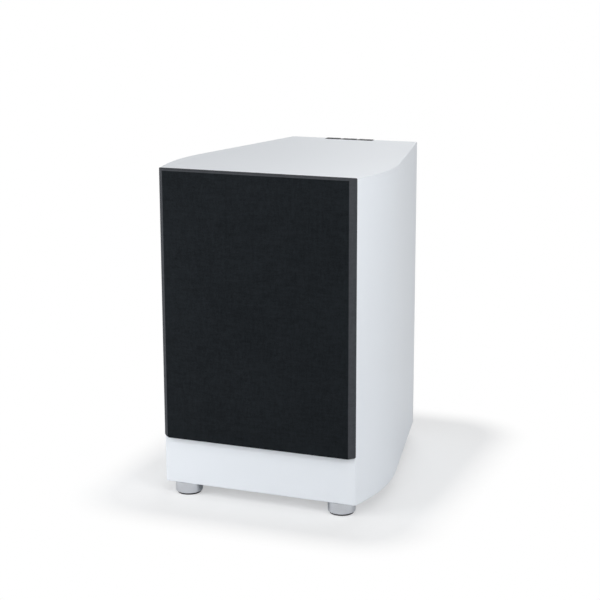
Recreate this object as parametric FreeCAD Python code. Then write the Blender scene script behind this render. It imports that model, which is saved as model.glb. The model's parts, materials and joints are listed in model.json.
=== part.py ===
import FreeCAD, Part

"""Active two-way bookshelf speaker: bowed cabinet, thin cloth grille, metal feet, keys on top.

Millimetres, +Z up. The front faces -Y and +X is the right side seen from the front.
The origin is on the floor, under the middle of the bounding box.
Inside this file Y is counted from the face of the front baffle, into the cabinet.
"""
import math
import os

V = FreeCAD.Vector
X, Y, Z = V(1, 0, 0), V(0, 1, 0), V(0, 0, 1)
NEAR = 0.01                # two faces or edges this close are the same

# Wooden cabinet
HEIGHT = 305.0
FRONT_WIDTH = 193.6
DEPTH = 264.6
SIDE_RADIUS = 207.0        # bow of each side, seen from above
FLARE_DEG = 17.6           # each side leaves the front edge turned outwards by this
TAPER_DEG = 11.5           # and runs straight to the back turned inwards by this
PANEL = 15.0               # top, bottom, sides and back
BAFFLE = 18.0
EDGE_ROUND = 1.2
BRACE = 10.0
BRACE_Z = 192.5            # underside of the brace, above the cabinet's bottom
BRACE_RIM = 16.0
WADDING = 10.0
WADDING_FRONT, WADDING_BACK = 40.0, 170.0
WADDING_GAP = 4.0

# Grille
GRILLE_HEIGHT = 258.6
GRILLE_DEPTH = 5.6
GRILLE_TOP_ROUND = 1.6
CLOTH = 0.5
GRILLE_GAP = 0.3
WINDOW_LAP = 5.0           # the frame covers this much of each driver's flange
WINDOW_FLARE = 3.0
PEG_R = 3.0
PEG_LENGTH = 8.0
PEG_INSET_X = 12.0
PEG_INSET_Z = 11.0
PEG_TIP = 0.8
PEG_FIT = 0.05             # radial clearance of a peg in its rubber cup
CUP_WALL = 1.6

# Feet
FOOT_R = 13.1
FOOT_HEIGHT = 12.6
FOOT_X, FOOT_Y = 78.8, 13.2
REAR_FOOT_X = 52.0
REAR_FOOT_BACK = 24.6         # from the back panel's face
FOOT_ROUND = 1.5
PAD_R = 11.4
PAD_HEIGHT = 3.0
PAD_PROUD = 1.6
PAD_ROUND = 0.6
FOOT_WEB = 6.0             # metal between the screw's head and the cabinet
FOOT_SCREW_R = 2.5
FOOT_SCREW_HEAD_R = 4.6
FOOT_SCREW_HEAD = 3.2
FOOT_SCREW_GRIP = 11.0

# Woofer, its depths counted from the baffle's face
WOOFER_Z = 125.4           # centre above the cabinet's bottom
WOOFER_R = 72.0
WOOFER_FLANGE = 5.0
WOOFER_HOLE_R = 62.0
WOOFER_GASKET = 1.0
SURROUND_R = 61.0
SURROUND_SKIN = 0.6
SURROUND_RISE = 4.4        # crest of the roll above its glue ledge
LEDGE_Y = 3.4
LIP = 4.0                  # width of both glued edges of the surround
CONE_R = 49.0
CONE_Y = 6.4
CONE_NECK_Y = 27.0
CONE_WALL = 1.0
CONE_DEPTH_WALL = 1.6      # the cone's wall, measured along the axis
CONE_BOW = 1.6
DUST_CAP_R = 21.0
DUST_CAP_HEIGHT = 7.0
DUST_CAP_WALL = 0.8
COIL_R = 13.0              # inside of the former
FORMER_WALL = 0.4
FORMER_TAIL = 2.0
WINDING = 0.7
OVERHANG = 2.75            # the winding is this much taller than the gap at each end
COIL_GAP = 0.5             # air on each side of former and winding
SPIDER_Y = 36.0
SPIDER_R = 40.0
SPIDER_SKIN = 0.5
SPIDER_LIFT = 1.2
SPIDER_WAVES = 3
SPIDER_FLAT = 3.0
BASKET_WALL = 2.2
BASKET_CLEAR = 1.0         # round the basket, in the baffle's hole
BASKET_NECK_R = 41.0
SPIDER_SEAT = 2.7
MOTOR_SEAT = 4.4           # from the winding to the edge of the motor's seat
LEG_T = 3.3
LEG_Y = 11.0
LEG_HALF_DEG = 13.0
LEGS = 6
LEG_RIB = 3.0
RIB_ROOT = 1.0             # a rib starts this deep inside its leg
LUG_WIDTH, LUG_REACH, LUG_LENGTH = 8.0, 13.0, 8.0
MOTOR_Y = 48.0
MOTOR_R = 42.0
MAGNET_R = 45.0
MAGNET_HOLE_R = 22.0
TOP_PLATE = 5.0
MAGNET = 14.0
BACK_PLATE = 5.0
VENT_R = 5.0
FLANGE_SCREWS = 6
SCREW_R = 1.9
SCREW_HEAD_R = 3.6
SCREW_SINK = 2.4
SCREW_LENGTH = 15.0

# Tweeter, its depths counted from the baffle's face
TWEETER_Z = 243.4
TWEETER_R = 42.0
TWEETER_FLANGE = 4.0
TWEETER_HOLE_R = 35.5
TWEETER_CLEAR = 1.0
GUIDE_R = 34.0             # mouth of the shallow wave guide
GUIDE_DEPTH = 3.4
GUIDE_BOW = 0.9
DOME_R = 12.5
DOME_HEIGHT = 4.2
DOME_Y = 5.0
DOME_WALL = 0.35
ROLL_R = 15.6
ROLL_LIP = 0.8
ROLL_RISE = 1.0
ROLL_SKIN = 0.5
THROAT_CLEAR = 0.6
TWEETER_WINDING = 0.4
TWEETER_MOTOR_Y = 7.0
TWEETER_PLATE_R = 32.0
TWEETER_PLATE = 3.0
TWEETER_MAGNET_R = 34.0
TWEETER_MAGNET_HOLE_R = 17.5
TWEETER_MAGNET = 8.0
CHAMBER_R = 28.0
CHAMBER = 18.0
CHAMBER_WALL = 2.0
CHAMBER_ROUND = 3.0
FACE_SCREWS = 4

# Bass reflex port in the back panel
PORT_Z = 246.0             # centre above the cabinet's bottom
PORT_R = 21.0
PORT_WALL = 2.5
PORT_LENGTH = 100.0
PORT_MOUTH_R = 30.0
PORT_LIP = 6.0
PORT_FLANGE_R = 35.0
PORT_FLANGE = 3.0

# Amplifier in the back panel
PLATE_WIDTH = 104.0
PLATE_HEIGHT = 150.0
PLATE_Z = 26.0             # lower edge above the cabinet's bottom
PLATE = 3.0
PLATE_CORNER = 6.0
PLATE_LIP = 6.0
FINS = 11
FIN_T = 2.2
FIN_PITCH = 7.4
FIN_RISE = 5.0
FIN_HEIGHT = 64.0
FIN_TOP_GAP = 13.0
FIN_ROUND = 0.8
PLATE_SCREW_R = 1.7
PLATE_SCREW_HEAD_R = 3.0
PLATE_SCREW_SINK = 1.8
PLATE_SCREW_INSET = 3.4
PLATE_SCREW_GRIP = 14.0
COVER_DEPTH = 62.0
COVER_WALL = 3.0
COVER_CLEAR = 0.5
BOARD = 1.6
BOARD_GAP = 24.4           # from the board's back to the plate
BOARD_CLEAR = 4.0
SPACER_R = 3.0
SPACER_ROW = 72.0          # height of the lower spacers above the plate's lower edge
SPREADER_WIDTH, SPREADER_HEIGHT = 60.0, 38.0
TRANSFORMER = (28.0, 22.0, 32.0)
CHIP = (23.0, 6.0, 22.0)
PART_INSET = 6.0
CAPACITORS = 3
CAPACITOR_R, CAPACITOR_HEIGHT, CAPACITOR_PITCH = 6.0, 18.0, 15.0

# Sockets and power switch, in two rows on the plate
SOCKET_INSET = 24.0        # from the plate's side edges to the middle of switch and inlet
LOW_ROW = 24.0
INPUT_ROW = 54.0
INPUT_PITCH = 16.0
INPUT_BARREL_R = 4.15
INPUT_WALL = 0.8
INPUT_REACH = 8.5
INPUT_TAIL = 8.0
INPUT_CONTACT_R = 1.65
INPUT_FLOOR = 2.0
CORE_SET_BACK = 0.6
NUT_R = 6.4
NUT = 2.2
INLET_WIDTH, INLET_HEIGHT, INLET_DEPTH = 16.4, 8.6, 12.0
INLET_WALL = 2.0
INLET_RIM = 2.0
INLET_PIN_R = 1.2
INLET_PIN_PITCH = 8.6
INLET_PIN_TAIL = 5.0
INLET_PIN_SET_BACK = 3.0
ROCKER_WIDTH, ROCKER_HEIGHT = 9.0, 17.0
ROCKER_CLEAR = 0.35
ROCKER_WALL = 1.6
ROCKER_RIM = 1.6
ROCKER_TILT = 8.0
ROCKER_FACE = 5.3          # valley of the rocker's face, in front of its pivot
ROCKER_HORN = 6.2
ROCKER_HEEL = 5.0
ROCKER_HEEL_HALF = 3.0
ROCKER_BODY = 10.0
PIVOT_Y = 3.0              # pivot behind the plate's face
PIVOT_R = 1.0
PIVOT_FIT = 0.05
PIVOT_REACH = 1.0

# Control strip let into the rear edge of the top
STRIP_X = -3.5
STRIP_WIDTH = 53.4
STRIP_DEPTH = 9.0
STRIP_T = 5.0
STRIP_FLOOR = 1.0
CONTROL_BOARD = 1.2
STRIP_WALL = 1.0           # of the tray, round the board
KEY_WIDTH = 14.6
KEY_PITCH = 18.2
KEY_DEPTH = 5.6
KEY_PROUD = 0.7
KEY_CLEAR = 0.35
KEY_TRAVEL = 0.6
KEY_ROUND = 0.5
KEY_SWITCH_R = 1.6
KEY_SWITCH_RISE = 0.6

# Leads from the drivers to the amplifier, with the points that each passes between its plug and the board
LEAD_R = 2.0
ARC_SHARE = 0.45           # share of the shorter run that a bend takes up
PLUG_WIDTH, PLUG_HEIGHT, PLUG_LENGTH = 7.0, 6.0, 12.0
WOOFER_LEAD = [(-54.7, 92, 138), (-49, 130, 131), (-38, 168, 122), (-30, 205, 118)]
TWEETER_PLUG_X = 12.0
TWEETER_LEAD = [(12, 78, 256), (14, 108, 250), (17, 134, 234), (20, 152, 209), (22, 163, 182), (24, 180, 162),
                (24, 208, 157)]

FLARE, TAPER = math.radians(FLARE_DEG), math.radians(TAPER_DEG)
LOW_Z = FOOT_HEIGHT
TOP_Z = LOW_Z + HEIGHT
WOOFER_AXIS = LOW_Z + WOOFER_Z
TWEETER_AXIS = LOW_Z + TWEETER_Z
PORT_AXIS = LOW_Z + PORT_Z
PLATE_LOW = LOW_Z + PLATE_Z
PLATE_BACK = DEPTH - PLATE
BOARD_Y = PLATE_BACK - BOARD_GAP - BOARD
LUG_X = -(BASKET_NECK_R + BASKET_WALL + LUG_REACH - PLUG_WIDTH / 2)
SOCKET_X = PLATE_WIDTH / 2 - SOCKET_INSET
FORMER_R = COIL_R + FORMER_WALL
WINDING_R = FORMER_R + WINDING
Y_MIDDLE = (DEPTH + INPUT_REACH - GRILLE_DEPTH) / 2
BEYOND = 2 * DEPTH         # reaches past every side of the cabinet


# ---------------------------------------------------------------- shapes

def box(x0, x1, y0, y1, z0, z1):
    return Part.makeBox(x1 - x0, y1 - y0, z1 - z0, V(x0, y0, z0))


def rod(x, z, r, y0, y1):
    """A cylinder along Y."""
    return Part.makeCylinder(r, y1 - y0, V(x, y0, z), Y)


def post(x, y, r, z0, z1):
    """A cylinder along Z."""
    return Part.makeCylinder(r, z1 - z0, V(x, y, z0), Z)


def ring(z, r_in, r_out, y0, y1):
    return rod(0, z, r_out, y0, y1).cut(rod(0, z, r_in, y0, y1))


def edges_at(solid, y=None, z=None):
    """The solid's edges whose middle lies at that depth and height; the one left out may be anything."""
    def there(edge):
        middle = edge.CenterOfMass
        return (y is None or abs(middle.y - y) < NEAR) and (z is None or abs(middle.z - z) < NEAR)
    return [edge for edge in solid.Edges if there(edge)]


def turned(outline, z):
    """Turns a closed (radius, y) outline about the Y axis at height z; (radius, y, "arc") lies on an arc."""
    edges, last, middle = [], None, None
    for point in [*outline, outline[0]]:
        here = V(point[0], point[1], 0)
        if len(point) == 3:
            middle = here
            continue
        if last is not None:
            curve = Part.Arc(last, middle, here) if middle else Part.LineSegment(last, here)
            edges.append(curve.toShape())
        last, middle = here, None
    solid = Part.Face(Part.Wire(edges)).revolve(V(0, 0, 0), Y, 360)
    solid.translate(V(0, 0, z))
    return solid


def cap_outline(r, y, height, wall):
    """Half the section of a thin spherical cap: base radius r at depth y, bulging forwards by height."""
    ball = (r * r + height * height) / (2 * height)
    middle = y - height + ball
    reach = math.asin(r / ball)

    def at(radius, angle, *mark):
        return (radius * math.sin(angle), middle - radius * math.cos(angle), *mark)

    inner = ball - wall
    return [at(ball, 0), at(ball, reach / 2, "arc"), at(ball, reach),
            at(inner, reach), at(inner, reach / 2, "arc"), at(inner, 0)]


def on_circle(z, r, count, turn, make):
    """Copies of make(x, z) evenly round a circle, the first at angle turn, as one compound."""
    angles = [turn + 2 * math.pi * i / count for i in range(count)]
    return Part.makeCompound([make(r * math.cos(a), z + r * math.sin(a)) for a in angles])


def flange_screw(x, z):
    """A countersunk screw along Y, its head flush with the baffle's face."""
    sink = Part.makeCone(SCREW_HEAD_R, SCREW_R, SCREW_SINK, V(x, 0, z), Y)
    return rod(x, z, SCREW_R, 0, SCREW_LENGTH).fuse(sink).removeSplitter()


def cable(points, r):
    """A round lead of radius r: straight runs joined by tangent arcs, each as large as its two runs allow."""
    edges, start = [], points[0]
    for before, corner, after in zip(points, points[1:], points[2:]):
        back, on = before - corner, after - corner
        reach = ARC_SHARE * min(back.Length, on.Length)
        back.normalize()
        on.normalize()
        half_turn = (math.pi - back.getAngle(on)) / 2
        bend = reach / math.tan(half_turn)
        inward = (back + on).normalize()
        middle = corner + inward * (bend / math.cos(half_turn) - bend)
        edges.append(Part.LineSegment(start, corner + back * reach).toShape())
        edges.append(Part.Arc(corner + back * reach, middle, corner + on * reach).toShape())
        start = corner + on * reach
        print(f"bend radius of the lead: {bend:.0f} mm")
    edges.append(Part.LineSegment(start, points[-1]).toShape())
    section = Part.Wire(Part.makeCircle(r, points[0], points[1] - points[0]))
    return Part.Wire(edges).makePipeShell([section], True, False)


# ---------------------------------------------------------------- cabinet

def side_x(y, inset=0.0):
    """Half width of the cabinet at depth y, with its side moved in by inset."""
    r = SIDE_RADIUS - inset
    bow_x = FRONT_WIDTH / 2 - SIDE_RADIUS * math.cos(FLARE)
    bow_y = SIDE_RADIUS * math.sin(FLARE)
    straight_y = bow_y + r * math.sin(TAPER)
    if y <= straight_y:
        return bow_x + math.sqrt(r * r - (y - bow_y) ** 2)
    return bow_x + r * math.cos(TAPER) - (y - straight_y) * math.tan(TAPER)


def plan_slab(inset, y0, y1, z0, z1):
    """The cabinet's plan between two depths, its sides moved in by inset, raised from z0 to z1."""
    straight_y = SIDE_RADIUS * math.sin(FLARE) + (SIDE_RADIUS - inset) * math.sin(TAPER)
    bow_end = min(straight_y, y1)
    right = [V(side_x(y, inset), y, z0) for y in (y0, (y0 + bow_end) / 2, bow_end)]
    left = [V(-p.x, p.y, z0) for p in right]
    back = V(side_x(y1, inset), y1, z0)
    edges = [Part.LineSegment(left[0], right[0]), Part.Arc(*right)]
    if y1 > straight_y:
        edges += [Part.LineSegment(right[2], back), Part.LineSegment(back, V(-back.x, back.y, z0)),
                  Part.LineSegment(V(-back.x, back.y, z0), left[2])]
    else:
        edges.append(Part.LineSegment(right[2], left[2]))
    edges.append(Part.Arc(left[2], left[1], left[0]))
    return Part.Face(Part.Wire([edge.toShape() for edge in edges])).extrude(V(0, 0, z1 - z0))


def cabinet():
    """One rounded outer form, sawn into full-height baffle and back with four panels between them."""
    form = plan_slab(0, 0, DEPTH, LOW_Z, TOP_Z)
    form = form.makeFillet(EDGE_ROUND, form.Edges)
    front, back = BAFFLE, DEPTH - PANEL
    low, high = LOW_Z + PANEL, TOP_Z - PANEL

    def sawn(x0, x1, y0, y1, z0, z1):
        return form.common(box(x0, x1, y0, y1, z0, z1))

    baffle = sawn(-BEYOND, BEYOND, 0, front, LOW_Z, TOP_Z)
    for z, hole_r, flange_r, flange in ((WOOFER_AXIS, WOOFER_HOLE_R, WOOFER_R, WOOFER_FLANGE + WOOFER_GASKET),
                                        (TWEETER_AXIS, TWEETER_HOLE_R, TWEETER_R, TWEETER_FLANGE)):
        baffle = baffle.cut(rod(0, z, hole_r, 0, front)).cut(rod(0, z, flange_r, 0, flange))
    for x, z in peg_places():
        baffle = baffle.cut(rod(x, z, PEG_R + PEG_FIT + CUP_WALL, 0, PEG_LENGTH + CUP_WALL))
    for screws in (woofer_screws(), tweeter_screws(), foot_screws()):
        baffle = baffle.cut(screws)

    rear = sawn(-BEYOND, BEYOND, back, DEPTH, LOW_Z, TOP_Z)
    rear = rear.cut(plate_blank(PLATE_LIP, back, DEPTH)).cut(plate_blank(0, PLATE_BACK, DEPTH))
    rear = rear.cut(rod(0, PORT_AXIS, PORT_R + PORT_WALL, back, DEPTH))
    rear = rear.cut(rod(0, PORT_AXIS, PORT_FLANGE_R, DEPTH - PORT_FLANGE, DEPTH))
    rear = rear.cut(strip_room()).cut(plate_screws())

    hollow = plan_slab(PANEL, front, back, low, high)
    return {"front_baffle": baffle, "back_panel": rear,
            "top_panel": sawn(-BEYOND, BEYOND, front, back, high, TOP_Z),
            "bottom_panel": sawn(-BEYOND, BEYOND, front, back, LOW_Z, low).cut(foot_screws()),
            "side_panel_left": sawn(-BEYOND, 0, front, back, low, high).cut(hollow),
            "side_panel_right": sawn(0, BEYOND, front, back, low, high).cut(hollow)}


def brace():
    """A shelf between the two drivers, glued all round and opened by two round-cornered windows."""
    low, back = LOW_Z + BRACE_Z, DEPTH - PANEL
    shelf = plan_slab(PANEL, BAFFLE, back, low, low + BRACE)
    middle = (BAFFLE + back) / 2
    for y0, y1 in ((BAFFLE + BRACE_RIM, middle - BRACE_RIM / 2), (middle + BRACE_RIM / 2, back - BRACE_RIM)):
        half = min(side_x(y0, PANEL), side_x(y1, PANEL)) - BRACE_RIM
        window = box(-half, half, y0, y1, low, low + BRACE)
        shelf = shelf.cut(window.makeFillet(BRACE_RIM, edges_at(window, z=low + BRACE / 2)))
    return {"window_brace": shelf}


def wadding():
    """A soft lining on the inside of both side panels, below the brace."""
    low, high = LOW_Z + PANEL + WADDING_GAP, LOW_Z + BRACE_Z - WADDING_GAP
    lining = plan_slab(PANEL, WADDING_FRONT, WADDING_BACK, low, high)
    return {"damping_wadding": lining.cut(plan_slab(PANEL + WADDING, WADDING_FRONT, WADDING_BACK, low, high))}


# ---------------------------------------------------------------- feet

def feet_places():
    """Name, x and y of each foot."""
    rear = DEPTH - REAR_FOOT_BACK
    return [("front_left", -FOOT_X, FOOT_Y), ("front_right", FOOT_X, FOOT_Y),
            ("rear_left", -REAR_FOOT_X, rear), ("rear_right", REAR_FOOT_X, rear)]


def foot_screws():
    seat = FOOT_HEIGHT - FOOT_WEB
    screws = []
    for _, x, y in feet_places():
        head = post(x, y, FOOT_SCREW_HEAD_R, seat - FOOT_SCREW_HEAD, seat)
        screws.append(head.fuse(post(x, y, FOOT_SCREW_R, seat, LOW_Z + FOOT_SCREW_GRIP)).removeSplitter())
    return Part.makeCompound(screws)


def feet():
    """Turned metal feet, each with a rubber pad let into its rounded lower end."""
    nodes, pads = {}, []
    for name, x, y in feet_places():
        foot = post(x, y, FOOT_R, PAD_PROUD, FOOT_HEIGHT)
        foot = foot.makeFillet(FOOT_ROUND, edges_at(foot, z=PAD_PROUD))
        foot = foot.cut(post(x, y, PAD_R, PAD_PROUD, PAD_HEIGHT))
        foot = foot.cut(post(x, y, FOOT_SCREW_HEAD_R, PAD_HEIGHT, FOOT_HEIGHT - FOOT_WEB))
        nodes[f"foot_{name}"] = foot.cut(post(x, y, FOOT_SCREW_R, FOOT_HEIGHT - FOOT_WEB, FOOT_HEIGHT))
        pad = post(x, y, PAD_R, 0, PAD_HEIGHT)
        pads.append(pad.makeFillet(PAD_ROUND, edges_at(pad, z=0)))
    return {**nodes, "foot_pads": Part.makeCompound(pads), "foot_screws": foot_screws()}


# ---------------------------------------------------------------- grille

def peg_places():
    x = FRONT_WIDTH / 2 - PEG_INSET_X
    low = TOP_Z - GRILLE_HEIGHT + PEG_INSET_Z
    return [(side * x, z) for side in (-1, 1) for z in (low, TOP_Z - PEG_INSET_Z)]


def grille_slab(inset):
    """The grille's outer form moved in by inset: 45 degree chamfers down both sides, its top edge rounded."""
    half = FRONT_WIDTH / 2 - inset
    front, back = inset - GRILLE_DEPTH, -GRILLE_GAP
    slant = half - (back - front)
    low, high = TOP_Z - GRILLE_HEIGHT + inset, TOP_Z - inset
    plan = [V(-half, back, low), V(-slant, front, low), V(slant, front, low), V(half, back, low)]
    slab = Part.Face(Part.makePolygon([*plan, plan[0]])).extrude(V(0, 0, high - low))
    return slab.makeFillet(GRILLE_TOP_ROUND - inset, edges_at(slab, y=front, z=high))


def grille():
    """A thin frame with a window over each driver, cloth stretched over it, and four pegs in rubber cups."""
    frame = grille_slab(CLOTH)
    cloth = grille_slab(0).cut(frame)
    for z, driver_r in ((WOOFER_AXIS, WOOFER_R), (TWEETER_AXIS, TWEETER_R)):
        r = driver_r - WINDOW_LAP
        frame = frame.cut(turned([(0, -GRILLE_DEPTH), (r + WINDOW_FLARE, -GRILLE_DEPTH), (r, -GRILLE_GAP),
                                  (0, -GRILLE_GAP)], z))
    pegs, cups = [], []
    for x, z in peg_places():
        peg = rod(x, z, PEG_R, -GRILLE_GAP, PEG_LENGTH)
        pegs.append(peg.makeChamfer(PEG_TIP, edges_at(peg, y=PEG_LENGTH)))
        bore_r = PEG_R + PEG_FIT
        cup = rod(x, z, bore_r + CUP_WALL, 0, PEG_LENGTH + CUP_WALL)
        cups.append(cup.cut(rod(x, z, bore_r, 0, PEG_LENGTH + CUP_WALL / 2)))
    return {"grille_frame": frame, "grille_cloth": cloth,
            "grille_pegs": Part.makeCompound(pegs), "grille_cups": Part.makeCompound(cups)}


# ---------------------------------------------------------------- woofer

def woofer_screws():
    return on_circle(WOOFER_AXIS, (WOOFER_R + SURROUND_R) / 2, FLANGE_SCREWS, math.pi / 2, flange_screw)


def basket():
    """Cast frame: flange with a ledge for the surround, six ribbed legs round open windows, the spider's
    ledge and the seat of the motor. A lug on its left takes the lead."""
    outer, neck = WOOFER_HOLE_R - BASKET_CLEAR, BASKET_NECK_R + BASKET_WALL
    inner, throat = outer - LEG_T, BASKET_NECK_R - BASKET_CLEAR
    ledge_r, ledge_back = SURROUND_R - LIP, LEDGE_Y + BASKET_WALL
    spider_r, step_y = SPIDER_R - SPIDER_SEAT, SPIDER_Y + BASKET_CLEAR
    seat_r, seat_y = WINDING_R + MOTOR_SEAT, MOTOR_Y - BASKET_WALL
    shell = turned([(ledge_r, LEDGE_Y), (SURROUND_R, LEDGE_Y), (SURROUND_R, 0), (WOOFER_R, 0),
                    (WOOFER_R, WOOFER_FLANGE), (outer, WOOFER_FLANGE), (outer, LEG_Y), (neck, SPIDER_Y),
                    (neck, MOTOR_Y), (seat_r, MOTOR_Y), (seat_r, seat_y), (throat, seat_y), (throat, step_y),
                    (spider_r, step_y), (spider_r, SPIDER_Y), (BASKET_NECK_R, SPIDER_Y), (inner, LEG_Y),
                    (inner, ledge_back), (ledge_r, ledge_back)], WOOFER_AXIS)
    step = 2 * math.pi / LEGS
    half = math.radians(LEG_HALF_DEG)
    window_back = SPIDER_Y - LEG_T
    back = BASKET_WALL / 2
    root_r, foot_r = outer - RIB_ROOT, neck - RIB_ROOT
    rib = [V(root_r, LEG_Y - RIB_ROOT, -back), V(root_r, LEG_Y + LEG_RIB, -back),
           V(neck + LEG_RIB, SPIDER_Y, -back), V(foot_r, seat_y - RIB_ROOT, -back), V(foot_r, SPIDER_Y, -back)]
    rib = Part.Face(Part.makePolygon([*rib, rib[0]])).extrude(V(0, 0, BASKET_WALL))
    for i in range(LEGS):
        leg = (i + 0.5) * step
        start, end = leg + half, leg + step - half
        corners = [V(0, LEG_Y, WOOFER_AXIS)]
        for angle in (start, (start + end) / 2, end):
            corners.append(corners[0] + V(math.cos(angle), 0, math.sin(angle)) * 2 * WOOFER_R)
        window = Part.Face(Part.makePolygon([*corners, corners[0]])).extrude(V(0, window_back - LEG_Y, 0))
        leg_rib = rib.copy()
        leg_rib.rotate(V(0, 0, 0), Y, -math.degrees(leg))
        leg_rib.translate(V(0, 0, WOOFER_AXIS))
        shell = shell.cut(window).fuse(leg_rib)
    lug = box(-neck - LUG_REACH, -BASKET_NECK_R - RIB_ROOT, MOTOR_Y - LUG_LENGTH, MOTOR_Y,
              WOOFER_AXIS - LUG_WIDTH / 2, WOOFER_AXIS + LUG_WIDTH / 2)
    return shell.fuse(lug).removeSplitter().cut(woofer_screws())


def spider():
    """The corrugated disc that centres the voice coil."""
    step = (SPIDER_R - FORMER_R - 2 * SPIDER_FLAT) / (2 * SPIDER_WAVES)
    front_y, start = SPIDER_Y - SPIDER_SKIN, FORMER_R + SPIDER_FLAT
    front = [(FORMER_R, front_y), (start, front_y)]
    rear = [(start, SPIDER_Y), (FORMER_R, SPIDER_Y)]
    for i in range(2 * SPIDER_WAVES):
        r, peak = start + i * step, front_y + SPIDER_LIFT * (-1) ** (i + 1)
        front += [(r + step / 2, peak, "arc"), (r + step, front_y)]
        rear = [(r + step, SPIDER_Y), (r + step / 2, peak + SPIDER_SKIN, "arc"), *rear]
    return turned([*front, (SPIDER_R, front_y), (SPIDER_R, SPIDER_Y), *rear], WOOFER_AXIS)


def surround():
    """A half roll of rubber: a flat glued edge outside, and a leg down to the cone's glued edge inside."""
    roll_r = SURROUND_R - LIP
    middle = (CONE_R + roll_r) / 2
    crest = LEDGE_Y - SURROUND_RISE
    skin = SURROUND_SKIN
    return turned([(SURROUND_R, LEDGE_Y - skin), (roll_r, LEDGE_Y - skin), (middle, crest - skin, "arc"),
                   (CONE_R, LEDGE_Y - skin), (CONE_R, CONE_Y - skin), (CONE_R - LIP, CONE_Y - skin),
                   (CONE_R - LIP, CONE_Y), (CONE_R + skin, CONE_Y), (CONE_R + skin, LEDGE_Y),
                   (middle, crest, "arc"), (roll_r - skin, LEDGE_Y), (SURROUND_R, LEDGE_Y)], WOOFER_AXIS)


def woofer():
    z = WOOFER_AXIS
    neck_r, lip_r = FORMER_R + CONE_WALL, CONE_R - LIP
    middle_r, middle_y = (lip_r + neck_r) / 2, (CONE_Y + CONE_NECK_Y) / 2 - CONE_BOW
    back = CONE_DEPTH_WALL
    cone = turned([(CONE_R, CONE_Y), (lip_r, CONE_Y), (middle_r, middle_y, "arc"), (neck_r, CONE_NECK_Y),
                   (neck_r, CONE_NECK_Y + back), (middle_r, middle_y + back, "arc"), (lip_r, CONE_Y + back),
                   (CONE_R, CONE_Y + CONE_WALL)], z)
    cap_y = CONE_NECK_Y - (DUST_CAP_R - neck_r) * (CONE_NECK_Y - CONE_Y) / (lip_r - neck_r)
    cap = turned(cap_outline(DUST_CAP_R, cap_y, DUST_CAP_HEIGHT, DUST_CAP_WALL), z).cut(cone)
    gap_end = MOTOR_Y + TOP_PLATE
    former = ring(z, COIL_R, FORMER_R, CONE_NECK_Y, gap_end + OVERHANG + FORMER_TAIL)
    former = former.cut(cone)
    winding = ring(z, FORMER_R, WINDING_R, MOTOR_Y - OVERHANG, gap_end + OVERHANG)
    magnet_end = gap_end + MAGNET
    yoke = rod(0, z, MOTOR_R, magnet_end, magnet_end + BACK_PLATE)
    yoke = yoke.fuse(rod(0, z, COIL_R - COIL_GAP, MOTOR_Y, magnet_end)).removeSplitter()
    gasket = ring(z, WOOFER_HOLE_R, WOOFER_R, WOOFER_FLANGE, WOOFER_FLANGE + WOOFER_GASKET)
    return {"woofer_basket": basket(), "woofer_gasket": gasket.cut(woofer_screws()),
            "woofer_screws": woofer_screws(), "woofer_surround": surround(), "woofer_cone": cone,
            "woofer_dust_cap": cap, "woofer_coil_former": former, "woofer_coil": winding,
            "woofer_spider": spider(),
            "woofer_top_plate": ring(z, WINDING_R + COIL_GAP, MOTOR_R, MOTOR_Y, gap_end),
            "woofer_magnet": ring(z, MAGNET_HOLE_R, MAGNET_R, gap_end, magnet_end),
            "woofer_yoke": yoke.cut(rod(0, z, VENT_R, MOTOR_Y, magnet_end + BACK_PLATE))}


# ---------------------------------------------------------------- tweeter

def tweeter_screws():
    return on_circle(TWEETER_AXIS, (TWEETER_R + GUIDE_R) / 2, FACE_SCREWS, math.pi / 4, flange_screw)


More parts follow.
